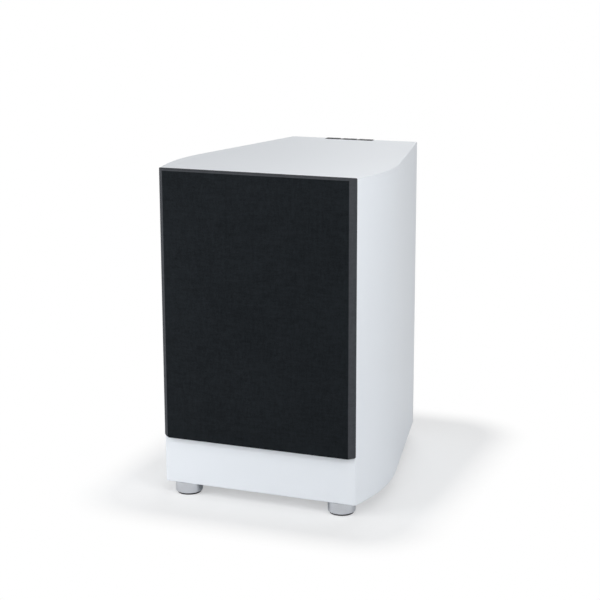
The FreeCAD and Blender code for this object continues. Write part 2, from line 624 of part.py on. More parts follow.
def tweeter():
    z = TWEETER_AXIS
    throat = ROLL_R + THROAT_CLEAR
    shoulder = TWEETER_HOLE_R - TWEETER_CLEAR
    face = turned([(throat, GUIDE_DEPTH), ((throat + GUIDE_R) / 2, (GUIDE_DEPTH - GUIDE_BOW) / 2, "arc"),
                   (GUIDE_R, 0), (TWEETER_R, 0), (TWEETER_R, TWEETER_FLANGE), (shoulder, TWEETER_FLANGE),
                   (shoulder, TWEETER_MOTOR_Y), (throat, TWEETER_MOTOR_Y)], z)
    roll_end = ROLL_R - ROLL_LIP
    middle, rise = (DOME_R + roll_end) / 2, DOME_Y - ROLL_RISE
    roll = turned([(DOME_R, DOME_Y), (middle, rise, "arc"), (roll_end, DOME_Y), (ROLL_R, DOME_Y),
                   (ROLL_R, DOME_Y + ROLL_SKIN), (roll_end - ROLL_SKIN, DOME_Y + ROLL_SKIN),
                   (middle, rise + ROLL_SKIN, "arc"), (DOME_R, DOME_Y + ROLL_SKIN)], z)
    coil_in, coil_out = DOME_R - TWEETER_WINDING, DOME_R + TWEETER_WINDING
    gap_end = TWEETER_MOTOR_Y + TWEETER_PLATE
    magnet_end = gap_end + TWEETER_MAGNET
    yoke_end = magnet_end + TWEETER_PLATE
    yoke = rod(0, z, TWEETER_PLATE_R, magnet_end, yoke_end)
    yoke = yoke.fuse(rod(0, z, coil_in - COIL_GAP, TWEETER_MOTOR_Y, magnet_end)).removeSplitter()
    chamber = rod(0, z, CHAMBER_R, yoke_end, yoke_end + CHAMBER)
    chamber = chamber.makeFillet(CHAMBER_ROUND, edges_at(chamber, y=yoke_end + CHAMBER))
    chamber = chamber.cut(rod(0, z, CHAMBER_R - CHAMBER_WALL, yoke_end, yoke_end + CHAMBER - CHAMBER_WALL))
    return {"tweeter_faceplate": face.cut(tweeter_screws()), "tweeter_screws": tweeter_screws(),
            "tweeter_dome": turned(cap_outline(DOME_R, DOME_Y, DOME_HEIGHT, DOME_WALL), z),
            "tweeter_roll": roll,
            "tweeter_coil": ring(z, coil_in, coil_out, DOME_Y + ROLL_SKIN, gap_end),
            "tweeter_top_plate": ring(z, coil_out + COIL_GAP, TWEETER_PLATE_R, TWEETER_MOTOR_Y, gap_end),
            "tweeter_magnet": ring(z, TWEETER_MAGNET_HOLE_R, TWEETER_MAGNET_R, gap_end, magnet_end),
            "tweeter_yoke": yoke, "tweeter_chamber": chamber}


# ---------------------------------------------------------------- port

def port():
    """A tube flared at both ends, its flange let into the back panel."""
    flare = PORT_MOUTH_R - PORT_R
    inside = DEPTH - PORT_LENGTH
    wall, under = PORT_R + PORT_WALL, DEPTH - PORT_FLANGE
    sag = 1 - math.sqrt(0.5)           # from a corner to the middle of its round, for a radius of 1
    tube = [(PORT_MOUTH_R, DEPTH), (PORT_R + flare * sag, DEPTH - flare * sag, "arc"),
            (PORT_R, DEPTH - flare), (PORT_R, inside + PORT_LIP),
            (PORT_R + PORT_LIP * sag, inside + PORT_LIP * sag, "arc"), (PORT_R + PORT_LIP, inside),
            (PORT_R + PORT_LIP, inside + PORT_WALL), (wall, inside + PORT_LIP + PORT_WALL), (wall, under),
            (PORT_FLANGE_R, under), (PORT_FLANGE_R, DEPTH)]
    return {"port_tube": turned(tube, PORT_AXIS)}


# ---------------------------------------------------------------- amplifier

def plate_blank(inset, y0, y1):
    """The amplifier plate's rounded outline moved in by inset, between two depths."""
    half = PLATE_WIDTH / 2 - inset
    blank = box(-half, half, y0, y1, PLATE_LOW + inset, PLATE_LOW + PLATE_HEIGHT - inset)
    return blank.makeFillet(PLATE_CORNER - inset / 2, edges_at(blank, y=(y0 + y1) / 2))


def plate_screws():
    """Countersunk screws: three down each side of the plate, one in the middle of its top and bottom."""
    half = PLATE_WIDTH / 2 - PLATE_SCREW_INSET
    low, high = PLATE_LOW + PLATE_SCREW_INSET, PLATE_LOW + PLATE_HEIGHT - PLATE_SCREW_INSET
    heights = (low + PLATE_SCREW_R, (low + high) / 2, high - PLATE_SCREW_R)
    places = [(x, z) for x in (-half, half) for z in heights] + [(0, low), (0, high)]
    under = DEPTH - PLATE_SCREW_SINK
    screws = []
    for x, z in places:
        head = Part.makeCone(PLATE_SCREW_R, PLATE_SCREW_HEAD_R, PLATE_SCREW_SINK, V(x, under, z), Y)
        screws.append(head.fuse(rod(x, z, PLATE_SCREW_R, DEPTH - PLATE_SCREW_GRIP, under)).removeSplitter())
    return Part.makeCompound(screws)


def amplifier_plate():
    """A flat plate with cooling fins cast on its upper part, cut out for the sockets and the switch."""
    plate = plate_blank(0, PLATE_BACK, DEPTH)
    fin_top = PLATE_LOW + PLATE_HEIGHT - FIN_TOP_GAP
    for i in range(FINS):
        x = (i - (FINS - 1) / 2) * FIN_PITCH
        fin = box(x - FIN_T / 2, x + FIN_T / 2, DEPTH, DEPTH + FIN_RISE, fin_top - FIN_HEIGHT, fin_top)
        plate = plate.fuse(fin.makeFillet(FIN_ROUND, edges_at(fin, y=DEPTH + FIN_RISE)))
    plate = plate.removeSplitter().cut(plate_screws())
    plate = plate.cut(inlet_form(INLET_WALL, PLATE_BACK, DEPTH))
    plate = plate.cut(rocker_form(ROCKER_CLEAR + ROCKER_WALL, PLATE_BACK, DEPTH))
    for _, x in input_places():
        plate = plate.cut(rod(x, PLATE_LOW + INPUT_ROW, INPUT_BARREL_R, PLATE_BACK, DEPTH))
    return plate


def driver_leads():
    """A lead from the board to a push-on plug on each driver: on the basket's lug and the tweeter's back."""
    tweeter_back = TWEETER_MOTOR_Y + 2 * TWEETER_PLATE + TWEETER_MAGNET + CHAMBER
    leads = []
    for plug, points in ((V(LUG_X, MOTOR_Y, WOOFER_AXIS), WOOFER_LEAD),
                         (V(TWEETER_PLUG_X, tweeter_back, TWEETER_AXIS), TWEETER_LEAD)):
        shell = box(plug.x - PLUG_WIDTH / 2, plug.x + PLUG_WIDTH / 2, plug.y, plug.y + PLUG_LENGTH,
                    plug.z - PLUG_HEIGHT / 2, plug.z + PLUG_HEIGHT / 2)
        end = V(points[-1][0], BOARD_Y, points[-1][2])
        route = [plug + V(0, PLUG_LENGTH, 0), *[V(*point) for point in points], end]
        leads.append(shell.fuse(cable(route, LEAD_R)).removeSplitter())
    return Part.makeCompound(leads)


def amplifier():
    """The plate, and behind it a sealed cover round the board with its parts, spacers and heat spreader."""
    inset = PLATE_LIP + COVER_CLEAR
    cover = plate_blank(inset, PLATE_BACK - COVER_DEPTH, PLATE_BACK)
    cover = cover.cut(plate_blank(inset + COVER_WALL, PLATE_BACK - COVER_DEPTH + COVER_WALL, PLATE_BACK))
    margin = inset + COVER_WALL + BOARD_CLEAR
    half = PLATE_WIDTH / 2 - margin
    low, high = PLATE_LOW + margin, PLATE_LOW + PLATE_HEIGHT - margin
    board_back = BOARD_Y + BOARD
    top = high - PART_INSET
    wide, deep, tall = TRANSFORMER
    x0 = PART_INSET - half
    parts = [box(x0, x0 + wide, BOARD_Y - deep, BOARD_Y, top - tall, top)]
    chip_top = top - tall + PART_INSET
    wide, deep, tall = CHIP
    x1 = half - PART_INSET
    parts.append(box(x1 - wide, x1, BOARD_Y - deep, BOARD_Y, chip_top - tall, chip_top))
    row = low + 2 * CAPACITOR_R + PART_INSET
    for i in range(CAPACITORS):
        x = 2 * PART_INSET - half + i * CAPACITOR_PITCH
        parts.append(rod(x, row, CAPACITOR_R, BOARD_Y - CAPACITOR_HEIGHT, BOARD_Y))
    spacers = [rod(side * (half - SPACER_R), z, SPACER_R, board_back, PLATE_BACK)
               for side in (-1, 1) for z in (PLATE_LOW + SPACER_ROW, high - SPACER_R)]
    wide = SPREADER_WIDTH / 2
    spreader = box(-wide, wide, board_back, PLATE_BACK, top - SPREADER_HEIGHT, top)
    leads = driver_leads()
    return {"amplifier_plate": amplifier_plate(), "amplifier_screws": plate_screws(),
            "driver_leads": leads, "amplifier_cover": cover.cut(leads),
            "amplifier_board": box(-half, half, BOARD_Y, board_back, low, high),
            "board_components": Part.makeCompound(parts), "board_spacers": Part.makeCompound(spacers),
            "heat_spreader": spreader}


# ---------------------------------------------------------------- sockets and power switch

def input_places():
    """Name and x of the two phono sockets, in line above the mains row."""
    return [("left", SOCKET_X), ("right", SOCKET_X - INPUT_PITCH)]


def inputs():
    """Phono sockets: a plated barrel with its nut, round an insulator with a contact hole."""
    z = PLATE_LOW + INPUT_ROW
    core_r, mouth = INPUT_BARREL_R - INPUT_WALL, DEPTH + INPUT_REACH
    corners = [V(math.cos(math.pi * i / 3), 0, math.sin(math.pi * i / 3)) * NUT_R for i in range(7)]
    nodes, barrels = {}, []
    for name, x in input_places():
        barrel = rod(x, z, INPUT_BARREL_R, PLATE_BACK - INPUT_TAIL, mouth)
        barrel = barrel.cut(rod(x, z, core_r, PLATE_BACK, mouth))
        nut = Part.Face(Part.makePolygon(corners)).extrude(V(0, NUT, 0))
        nut.translate(V(x, DEPTH, z))
        barrels.append(barrel.fuse(nut.cut(rod(x, z, INPUT_BARREL_R, DEPTH, DEPTH + NUT))).removeSplitter())
        core = rod(x, z, core_r, PLATE_BACK, mouth - CORE_SET_BACK)
        nodes[f"input_core_{name}"] = core.cut(rod(x, z, INPUT_CONTACT_R, PLATE_BACK + INPUT_FLOOR, mouth))
    return {**nodes, "input_barrels": Part.makeCompound(barrels)}


def inlet_form(grow, y0, y1):
    """The figure-of-eight inlet's outline grown by grow: a block with two round ends."""
    z, r = PLATE_LOW + LOW_ROW, INLET_HEIGHT / 2 + grow
    reach = (INLET_WIDTH - INLET_HEIGHT) / 2
    form = box(-SOCKET_X - reach, -SOCKET_X + reach, y0, y1, z - r, z + r)
    for side in (-1, 1):
        form = form.fuse(rod(-SOCKET_X + side * reach, z, r, y0, y1))
    return form.removeSplitter()


def mains_inlet():
    """The moulded inlet with its rim on the plate, and its two pins."""
    z, back, face = PLATE_LOW + LOW_ROW, PLATE_BACK - INLET_DEPTH, DEPTH + INLET_RIM
    shell = inlet_form(INLET_WALL, back, DEPTH).fuse(inlet_form(INLET_WALL + INLET_RIM, DEPTH, face))
    shell = shell.cut(inlet_form(0, back + INLET_WALL, face)).removeSplitter()
    start, end = back - INLET_PIN_TAIL, DEPTH - INLET_PIN_SET_BACK
    half = INLET_PIN_PITCH / 2
    pins = Part.makeCompound([rod(x - SOCKET_X, z, INLET_PIN_R, start, end) for x in (-half, half)])
    return {"mains_inlet": shell.cut(pins), "mains_inlet_pins": pins}


def rocker_form(grow, y0, y1):
    z, half_x, half_z = PLATE_LOW + LOW_ROW, ROCKER_WIDTH / 2 + grow, ROCKER_HEIGHT / 2 + grow
    return box(SOCKET_X - half_x, SOCKET_X + half_x, y0, y1, z - half_z, z + half_z)


def power_switch():
    """A rocker on two stub pins in a rimmed frame; it rests tipped with its lower end out."""
    z, pivot = PLATE_LOW + LOW_ROW, DEPTH - PIVOT_Y
    grow = ROCKER_CLEAR + ROCKER_WALL
    frame = rocker_form(grow, PLATE_BACK - ROCKER_BODY, DEPTH)
    frame = frame.fuse(rocker_form(grow + ROCKER_RIM, DEPTH, DEPTH + ROCKER_RIM)).removeSplitter()
    frame = frame.cut(rocker_form(ROCKER_CLEAR, PLATE_BACK - ROCKER_BODY + ROCKER_WALL, DEPTH + ROCKER_RIM))
    tilt = math.radians(ROCKER_TILT)
    end = (ROCKER_HEIGHT / 2 - ROCKER_HORN * math.sin(tilt)) / math.cos(tilt)
    side = [V(0, ROCKER_FACE, 0), V(0, ROCKER_HORN, end), V(0, 0, end), V(0, -ROCKER_HEEL, ROCKER_HEEL_HALF),
            V(0, -ROCKER_HEEL, -ROCKER_HEEL_HALF), V(0, 0, -end), V(0, ROCKER_HORN, -end)]
    rocker = Part.Face(Part.makePolygon([*side, side[0]])).extrude(V(ROCKER_WIDTH, 0, 0))
    rocker.translate(V(-ROCKER_WIDTH / 2, 0, 0))
    reach = ROCKER_WIDTH / 2 + ROCKER_CLEAR + PIVOT_REACH
    rocker = rocker.fuse(Part.makeCylinder(PIVOT_R, 2 * reach, V(-reach, 0, 0), X)).removeSplitter()
    rocker.rotate(V(0, 0, 0), X, -ROCKER_TILT)
    rocker.translate(V(SOCKET_X, pivot, z))
    reach += PIVOT_FIT
    hole = Part.makeCylinder(PIVOT_R + PIVOT_FIT, 2 * reach, V(SOCKET_X - reach, pivot, z), X)
    return {"power_switch_frame": frame.cut(hole), "power_rocker": rocker}


# ---------------------------------------------------------------- control strip

def strip_room():
    half, low = STRIP_WIDTH / 2, TOP_Z - STRIP_T - CONTROL_BOARD
    return box(STRIP_X - half, STRIP_X + half, DEPTH - STRIP_DEPTH, DEPTH, low, TOP_Z)


def control_strip():
    """Three sprung keys in a tray, which also walls in a narrow board with a switch below each key."""
    low, floor = TOP_Z - STRIP_T, TOP_Z - STRIP_T + STRIP_FLOOR
    half = STRIP_WIDTH / 2 - STRIP_WALL
    board = box(STRIP_X - half, STRIP_X + half, DEPTH - STRIP_DEPTH + STRIP_WALL, DEPTH - STRIP_WALL,
                low - CONTROL_BOARD, low)
    tray = strip_room().cut(board)
    y = DEPTH - STRIP_DEPTH / 2
    half_x, half_y = KEY_WIDTH / 2, KEY_DEPTH / 2
    well_x, well_y = half_x + KEY_CLEAR, half_y + KEY_CLEAR
    switch_top, key_top = floor + KEY_SWITCH_RISE, TOP_Z + KEY_PROUD
    nodes = {}
    for i, name in enumerate(("volume_down_key", "power_key", "volume_up_key")):
        x = STRIP_X + (i - 1) * KEY_PITCH
        switch = post(x, y, KEY_SWITCH_R, low, switch_top)
        well = box(x - well_x, x + well_x, y - well_y, y + well_y, floor, TOP_Z)
        tray = tray.cut(well).cut(switch)
        board = board.fuse(switch)
        under = switch_top + KEY_TRAVEL + KEY_CLEAR
        key = box(x - half_x, x + half_x, y - half_y, y + half_y, under, key_top)
        nodes[name] = key.makeFillet(KEY_ROUND, edges_at(key, z=key_top))
    return {**nodes, "control_tray": tray, "control_board": board.removeSplitter()}


nodes = {}
for group in (cabinet, brace, wadding, feet, grille, woofer, tweeter, port, amplifier, inputs, mains_inlet,
              power_switch, control_strip):
    nodes.update(group())
os.makedirs("parts", exist_ok=True)
for name, shape in nodes.items():
    placed = shape.copy()
    placed.translate(V(0, -Y_MIDDLE, 0))
    placed.exportStep(f"parts/{name}.step")
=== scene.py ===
"""Looks of an active bookshelf speaker: white lacquered cabinet, black cloth grille, polished feet.

Lengths are in metres. The front faces -Y, +X is the right side seen from the front, +Z is up.
"""
import json
import math
import bpy
from mathutils import Matrix, Vector, noise

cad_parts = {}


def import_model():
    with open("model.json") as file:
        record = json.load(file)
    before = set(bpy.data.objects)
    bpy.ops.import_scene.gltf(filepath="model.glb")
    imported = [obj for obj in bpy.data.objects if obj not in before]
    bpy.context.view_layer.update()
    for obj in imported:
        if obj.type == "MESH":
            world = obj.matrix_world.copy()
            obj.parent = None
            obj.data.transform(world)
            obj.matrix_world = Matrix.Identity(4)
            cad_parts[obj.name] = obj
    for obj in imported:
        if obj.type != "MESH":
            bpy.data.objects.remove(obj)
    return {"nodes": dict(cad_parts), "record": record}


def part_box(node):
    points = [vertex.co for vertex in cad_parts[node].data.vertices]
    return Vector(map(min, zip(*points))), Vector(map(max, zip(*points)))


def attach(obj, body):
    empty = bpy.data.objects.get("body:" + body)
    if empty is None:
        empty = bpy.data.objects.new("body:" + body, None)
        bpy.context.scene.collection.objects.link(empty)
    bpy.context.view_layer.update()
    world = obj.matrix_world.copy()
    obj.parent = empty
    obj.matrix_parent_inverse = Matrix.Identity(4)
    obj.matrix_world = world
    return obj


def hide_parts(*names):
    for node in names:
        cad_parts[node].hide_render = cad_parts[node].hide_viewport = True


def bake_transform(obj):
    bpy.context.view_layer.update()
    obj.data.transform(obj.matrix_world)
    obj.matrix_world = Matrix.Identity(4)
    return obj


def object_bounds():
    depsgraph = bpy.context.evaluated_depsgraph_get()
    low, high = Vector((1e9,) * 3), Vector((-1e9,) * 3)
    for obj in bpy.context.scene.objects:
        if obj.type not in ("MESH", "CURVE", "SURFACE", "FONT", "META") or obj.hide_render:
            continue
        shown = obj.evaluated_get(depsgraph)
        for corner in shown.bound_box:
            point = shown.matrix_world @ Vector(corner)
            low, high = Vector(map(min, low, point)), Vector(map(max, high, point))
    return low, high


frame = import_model()
CAD_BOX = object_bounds()
MM = 0.001

# Camera: where it stands and how it is turned
CAMERA_PLACE = (0.5447, -1.4059, 0.5201)
CAMERA_YAW = 21.51
CAMERA_PITCH = 13.03
CAMERA_ROLL = 0.14
CAMERA_LENS = 92.73
SENSOR = 36.0

# Studio
LOOKS = ("Is Camera Ray", "Is Glossy Ray", "Is Transmission Ray")
FLOOR_SIZE = 60.0
FLOOR_FADE = 0.09              # how far beyond the speaker its shadow runs out into plain white
SHADOW_LIFT = 0.42             # share of plain white in the shadow itself
AMBIENT = 0.18
AIM_HEIGHT = 0.16              # where the lamps point, above the floor
LAMP_SHARE = 0.6               # a lamp's side, as a share of its distance

# Grille cloth
CLOTH_T = 0.40 * MM
CHAMFER = 5.3 * MM             # of the grille's two upright sides
FOLD_TOP = 1.6 * MM            # radius of the fold over the frame's top edge
FOLD_BOTTOM = 0.9 * MM
FOLD_CORNER = 1.6 * MM
WRAP = 8.0 * MM                # cloth glued to the back of the frame
WRAP_BEHIND = 0.14 * MM
THREAD = 1.1 * MM              # one repeat of the weave

# Woofer: its roll's radii from the glued lip inwards, the depths of that lip and of the cone's, and the spider
ROLL_RADII = (61.0 * MM, 57.0 * MM, 49.0 * MM, 45.0 * MM)
ROLL_SEAT = 5.0 * MM
ROLL_INNER = 8.0 * MM
ROLL_SKIN = 0.6 * MM
SPIDER_SKIN = 0.5 * MM
SPIDER_FLAT = 3.0 * MM         # flat ring glued to the basket, and one to the coil's former
SPIDER_HALF_WAVES = 6
SPIDER_WEDGES = 8

# Screws that show: head radius, countersink, shank radius, length
DRIVER_SCREW = (3.6 * MM, 2.4 * MM, 1.9 * MM, 15.0 * MM)
PLATE_SCREW = (3.0 * MM, 1.8 * MM, 1.7 * MM, 14.0 * MM)

PRINT = (0.62, 0.63, 0.64)     # colour of the keys' and the rocker's marks


# ---------------------------------------------------------------- shader expressions

class Value:
    """A socket of a finish, with arithmetic: an expression on values adds its Math nodes."""

    def __init__(self, finish, socket):
        self.finish = finish
        self.socket = socket

    def math(self, operation, *inputs):
        return self.finish.node("ShaderNodeMath", {"operation": operation}, dict(enumerate(inputs)))

    def __add__(self, other):
        return self.math("ADD", self, other)

    def __sub__(self, other):
        return self.math("SUBTRACT", self, other)

    def __rsub__(self, other):
        return self.math("SUBTRACT", other, self)

    def __mul__(self, other):
        return self.math("MULTIPLY", self, other)

    def __pow__(self, other):
        return self.math("POWER", self, other)

    def sine(self):
        return self.math("SINE", self)

    def size(self):
        return self.math("ABSOLUTE", self)

    def over(self, limit):
        return self.math("GREATER_THAN", self, limit)

    def under(self, limit):
        return self.math("LESS_THAN", self, limit)

    def at_least(self, low):
        return self.math("MAXIMUM", self, low)

    def between(self, low, high):
        """0 at low, 1 at high, smooth and clamped."""
        settings = {"interpolation_type": "SMOOTHSTEP"}
        return self.finish.node("ShaderNodeMapRange", settings, {"Value": self, "From Min": low, "From Max": high})

    __radd__ = __add__
    __rmul__ = __mul__


class Finish:
    """One material under construction, round a Principled shader."""

    def __init__(self, name, **principled):
        self.material = bpy.data.materials.new(name)
        self.material.use_nodes = True
        self.tree = self.material.node_tree
        self.shader = self.tree.nodes["Principled BSDF"]
        self.set(**principled)

    def set(self, **principled):
        for name, value in principled.items():
            self.plug(self.shader.inputs[name.replace("_", " ")], value)
        return self

    def plug(self, target, value):
        if isinstance(value, Value):
            self.tree.links.new(value.socket, target)
        elif hasattr(value, "__len__") and len(value) == 3 and len(target.default_value) == 4:
            target.default_value = (*value, 1.0)
        else:
            target.default_value = value

    def node(self, kind, settings=None, inputs=None, output=0):
        """Adds a node: its settings first, then its sockets' values or links."""
        made = self.tree.nodes.new(kind)
        for name, value in (settings or {}).items():
            setattr(made, name, value)
        for name, value in (inputs or {}).items():
            self.plug(made.inputs[name], value)
        return Value(self, made.outputs[output])

    def place(self):
        """Object coordinates, in metres, that stay with a moving piece."""
        return self.node("ShaderNodeTexCoord", output="Object")

    def axes(self):
        """The three object coordinates as separate values."""
        split = self.node("ShaderNodeSeparateXYZ", {}, {"Vector": self.place()})
        return [Value(self, split.socket.node.outputs[i]) for i in range(3)]

    def stretched(self, x, y, z):
        """Object coordinates multiplied along each axis."""
        return self.node("ShaderNodeVectorMath", {"operation": "MULTIPLY"}, {0: self.place(), 1: (x, y, z)})

    def noise(self, per_metre, detail=2.0, roughness=0.5, where=None):
        inputs = {"Vector": where or self.place(), "Scale": per_metre, "Detail": detail, "Roughness": roughness}
        return self.node("ShaderNodeTexNoise", {}, inputs, "Fac")

    def mix(self, factor, first, second):
        """A colour between two colours."""
        return self.node("ShaderNodeMix", {"data_type": "RGBA"}, {0: factor, 6: first, 7: second}, 2)

    def bump(self, height, depth, strength=1.0):
        """A normal from a height between 0 and 1, raised by depth metres."""
        return self.node("ShaderNodeBump", {}, {"Strength": strength, "Distance": depth, "Height": height})


def tone(rgb, factor):
    return tuple(c * factor for c in rgb)


# ---------------------------------------------------------------- finishes

def white_lacquer():
    """Satin white paint on board, sprayed almost flat."""
    colour = (0.79, 0.825, 0.868)
    f = Finish("white_lacquer", Specular_IOR_Level=0.2)
    cloudy = f.noise(9.0, 3.0)
    peel = f.noise(160.0, 1.0)
    f.set(Base_Color=f.mix(cloudy, tone(colour, 0.985), colour), Roughness=0.49 + cloudy * 0.05,
          Normal=f.bump(peel, 0.004 * MM, 0.1))
    return f


def grille_cloth():
    """Fine plain weave, dark, with painted light: its slanted sides and top fold are coloured lighter, standing in
    for light falling on them.
    """
    f = Finish("grille_cloth", Specular_IOR_Level=0.08)
    x, y, z = f.axes()
    turn = 2 * math.pi / THREAD
    weave = (((x + y) * turn).sine() * (z * turn).sine()) * 0.5 + 0.5
    fleck = f.noise(900.0, 2.0, 0.7)
    cloud = f.noise(14.0, 3.0, 0.6)
    slubs = f.noise(1.0, 2.0, 0.6, f.stretched(110.0, 110.0, 380.0))
    slubs = slubs + f.noise(1.0, 2.0, 0.6, f.stretched(380.0, 380.0, 110.0))
    shade = (weave * 0.35 + fleck * 0.9 + cloud * 0.45 + slubs * 0.6).between(0.9, 2.0)
    _, (right, _, high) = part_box("grille_cloth")
    # Masks of the slanted sides and the top fold, where painted light goes.
    slant = x.size().between(right - CHAMFER - 0.2 * MM, right - CHAMFER + 0.3 * MM)
    fold = z.between(high - FOLD_TOP - 0.4 * MM, high - FOLD_TOP + 0.4 * MM)
    plain_cloth = f.mix(shade, (0.0042, 0.0057, 0.0071), (0.0126, 0.0158, 0.0190))
    # Painted light: a lighter tone on the slanted sides and the top fold, standing in for light falling on them.
    painted_light_cloth = f.mix(shade, (0.045, 0.048, 0.054), (0.066, 0.070, 0.078))
    f.set(Base_Color=f.mix(slant.at_least(fold), plain_cloth, painted_light_cloth),
          Roughness=0.80 + weave * 0.12, Normal=f.bump(weave * 0.6 + fleck * 0.4, 0.25 * MM, 0.6))
    return f


def moulded(name, colour, roughness=0.48, grain=2600.0, depth=0.03 * MM):
    """Injection moulded plastic with a fine spark-eroded grain."""
    f = Finish(name, Specular_IOR_Level=0.25)
    fine = f.noise(grain, 2.0, 0.6)
    broad = f.noise(60.0, 2.0)
    f.set(Base_Color=f.mix(broad, tone(colour, 0.9), tone(colour, 1.1)), Roughness=roughness + fine * 0.12,
          Normal=f.bump(fine, depth, 0.5))
    return f


def printed_key():
    """Smooth black keys with a minus, a power mark and a plus printed on them."""
    f = moulded("key_plastic", (0.035, 0.037, 0.042), 0.46, 3200.0, 0.01 * MM)
    x, y, z = f.axes()
    stroke, reach, ring = 0.28 * MM, 1.4 * MM, 1.15 * MM
    ink = None
    for name in ("volume_down", "power", "volume_up"):
        (left, front, _), (right, back, top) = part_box(f"{name}_key")
        across, along = x - (left + right) / 2, y - (front + back) / 2
        if name == "power":
            radius = (across * across + along * along) ** 0.5
            rim = (radius - ring).size().under(stroke)
            gap = across.size().under(2 * stroke) * along.over(0)
            marks = [rim * (1 - gap), across.size().under(stroke) * (along - ring).size().under(ring * 0.7)]
        else:
            marks = [across.size().under(reach) * along.size().under(stroke)]
        if name == "volume_up":
            marks.append(across.size().under(stroke) * along.size().under(reach))
        for mark in marks:
            ink = mark if ink is None else ink.at_least(mark)
    upper = z.over(top - 0.1 * MM)
    plain = Value(f, f.shader.inputs["Base Color"].links[0].from_socket)
    return f.set(Base_Color=f.mix(ink * upper, plain, PRINT))


def metal(name, colour, roughness, brush=(1, 1, 1), depth=0.006 * MM, variation=0.08):
    """Bare or plated metal; brush is how fast its fine marks change along each axis."""
    f = Finish(name, Metallic=1.0)
    marks = f.noise(1.0, 3.0, 0.6, f.stretched(*[2200.0 * b for b in brush]))
    smear = f.noise(25.0, 2.0)
    f.set(Base_Color=f.mix(smear, tone(colour, 1 - variation), colour), Roughness=roughness + marks * 0.08,
          Normal=f.bump(marks, depth, 0.3))
    return f


def polished_feet():
    """Bright plating over the fine rings that turning left round the feet."""
    f = Finish("chrome", Metallic=1.0)
    rings = f.noise(1.0, 2.0, 0.6, f.stretched(60.0, 60.0, 2600.0))
    f.set(Base_Color=f.mix(rings, (0.60, 0.615, 0.645), (0.69, 0.70, 0.725)), Roughness=0.10 + rings * 0.07,
          Normal=f.bump(rings, 0.002 * MM, 0.3))
    return f


def blackened_screws():
    """Oil-blackened steel, with painted shade down in the sockets, below both faces of the cabinet: there it is
    near black, dull and not metal.
    """
    black, painted_socket_shade, roughness, sunk = (0.13, 0.13, 0.14), (0.012, 0.012, 0.014), 0.32, 0.35 * MM
    f = metal("black_screws", black, roughness)
    _, y, _ = f.axes()
    # Painted shade: deeper than the sockets' rims the screws are coloured near black, dull and not metal.
    painted_shade_in_sockets = y.over(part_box("front_baffle")[0][1] + sunk) * y.under(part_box("back_panel")[1][1] - sunk)
    f.set(Base_Color=f.mix(painted_shade_in_sockets, black, painted_socket_shade), Metallic=1 - painted_shade_in_sockets, Roughness=roughness + painted_shade_in_sockets * 0.4)
    return f


def coated(name, colour, roughness, grain=1500.0, depth=0.04 * MM):
    """Powder coat, anodising or solder mask: fine even grain."""
    f = Finish(name, Specular_IOR_Level=0.28)
    speck = f.noise(grain, 3.0, 0.7)
    f.set(Base_Color=f.mix(speck, tone(colour, 0.8), tone(colour, 1.2)), Roughness=roughness + speck * 0.1,
          Normal=f.bump(speck, depth, 0.5))
    return f


def rubber(name, colour=(0.018, 0.018, 0.019), roughness=0.62):
    """Matt rubber with a little dust in it."""
    f = Finish(name, Specular_IOR_Level=0.2)
    dust = f.noise(300.0, 3.0, 0.7)
    f.set(Base_Color=f.mix(dust, colour, tone(colour, 1.6)), Roughness=roughness + dust * 0.2,
          Normal=f.bump(dust, 0.03 * MM, 0.4))
    return f


def fibrous(name, colour, per_metre=500.0, contrast=0.3, depth=0.2 * MM):
    """Paper, felt, fibreboard or wadding."""
    f = Finish(name, Sheen_Weight=0.1)
    fibre = f.noise(per_metre, 4.0, 0.75)
    f.set(Base_Color=f.mix(fibre, tone(colour, 1 - contrast), tone(colour, 1 + contrast)),
          Roughness=0.85 + fibre * 0.1, Normal=f.bump(fibre, depth, 0.5))
    return f


def finishes():
    """A finish for each material slot of the record, and for the printed marks."""
    return {
        "white_lacquer": white_lacquer(),
        "bare_board": fibrous("bare_board", (0.42, 0.30, 0.19), 700.0, 0.2, 0.1 * MM),
        "grille_cloth": grille_cloth(),
        "black_moulding": moulded("black_moulding", (0.022, 0.022, 0.025)),
        "key_plastic": printed_key(),
        "chrome": polished_feet(),
        "rubber": rubber("rubber"),
        "steel": metal("steel", (0.52, 0.53, 0.55), 0.30),
        "black_screws": blackened_screws(),
        "ferrite": coated("ferrite", (0.05, 0.05, 0.055), 0.55),
        "cast_black": coated("cast_black", (0.030, 0.031, 0.034), 0.42),
        "black_plate": coated("black_plate", (0.022, 0.023, 0.026), 0.40, 2500.0, 0.02 * MM),
        "bare_aluminium": metal("bare_aluminium", (0.70, 0.71, 0.73), 0.28, (1, 0.1, 1)),
        "cone_paper": fibrous("cone_paper", (0.045, 0.046, 0.050), 600.0, 0.35, 0.12 * MM),
        "dust_cap": moulded("dust_cap", (0.030, 0.030, 0.034), 0.28),
        "silk": fibrous("silk", (0.030, 0.031, 0.035), 1800.0, 0.25, 0.05 * MM),
        "spider_cloth": fibrous("spider_cloth", (0.50, 0.32, 0.11), 900.0, 0.2, 0.1 * MM),
        "copper": metal("copper", (0.72, 0.34, 0.16), 0.25, (0.1, 1, 0.1)),
        "former": metal("former", (0.60, 0.58, 0.52), 0.35),
        "wadding": fibrous("wadding", (0.78, 0.78, 0.76), 180.0, 0.15, 1.5 * MM),
        "circuit_board": coated("circuit_board", (0.015, 0.13, 0.055), 0.35),
        "components": moulded("components", (0.04, 0.04, 0.05)),
        "plated_brass": metal("plated_brass", (0.80, 0.66, 0.38), 0.20),
        "red_plastic": moulded("red_plastic", (0.50, 0.02, 0.02), 0.35),
        "white_plastic": moulded("white_plastic", (0.74, 0.74, 0.72), 0.35),
        "print": moulded("print", PRINT, 0.5),
    }


# ---------------------------------------------------------------- pieces

def dress_nodes(made):
    """Gives each CAD node the finish of its material slot."""
    slots = {part["node"]: part["material_slot"] for part in frame["record"]["subparts"]}
    for name, thing in frame["nodes"].items():
        thing.data.materials.clear()
        thing.data.materials.append(made[slots[name]].material)


